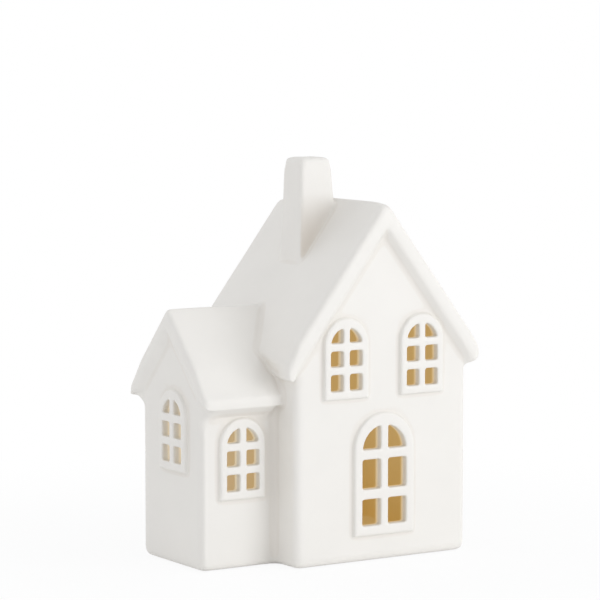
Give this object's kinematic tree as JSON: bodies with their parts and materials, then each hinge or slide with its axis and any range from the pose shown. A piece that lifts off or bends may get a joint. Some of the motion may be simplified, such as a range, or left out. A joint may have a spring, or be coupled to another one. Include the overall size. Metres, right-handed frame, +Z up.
{
  "type": "tealight house",
  "caption": "Hollow white ceramic house that holds a tealight: arched windows let the light out, an opening at the rear takes the candle and the chimney has a vent.",
  "frame": {"origin": "middle of the whole outline, on the ground", "axes": "+Z up, front of the house toward -Y, annex toward -X"},
  "size_m": [0.131, 0.083, 0.1704],
  "materials": {
    "white_ceramic": "satin matt white glaze",
    "cup_aluminium": "thin drawn sheet",
    "paraffin_wax": "smooth, slightly translucent wax",
    "cotton_wick": "waxed braid",
    "sustainer_steel": "pressed sheet"
  },
  "bodies": {
    "house": {"floor": "white_ceramic", "front_wall": "white_ceramic", "rear_wall": "white_ceramic", "right_wall": "white_ceramic", "left_front_wall": "white_ceramic", "left_rear_wall": "white_ceramic", "annex_front_wall": "white_ceramic", "annex_gable_wall": "white_ceramic", "annex_rear_wall": "white_ceramic", "main_roof": "white_ceramic", "annex_roof": "white_ceramic", "chimney": "white_ceramic", "front_left_window": "white_ceramic", "front_right_window": "white_ceramic", "door_window": "white_ceramic", "annex_front_window": "white_ceramic", "annex_gable_window": "white_ceramic"},
    "tealight": {"tealight_cup": "cup_aluminium", "tealight_wax": "paraffin_wax", "tealight_wick": "cotton_wick", "wick_sustainer": "sustainer_steel"}
  },
  "joints": [
    {"name": "tealight_slide", "type": "slide", "parent": "house", "child": "tealight", "axis": [0, 1, 0], "range_m": [0, 0.0489]}
  ]
}
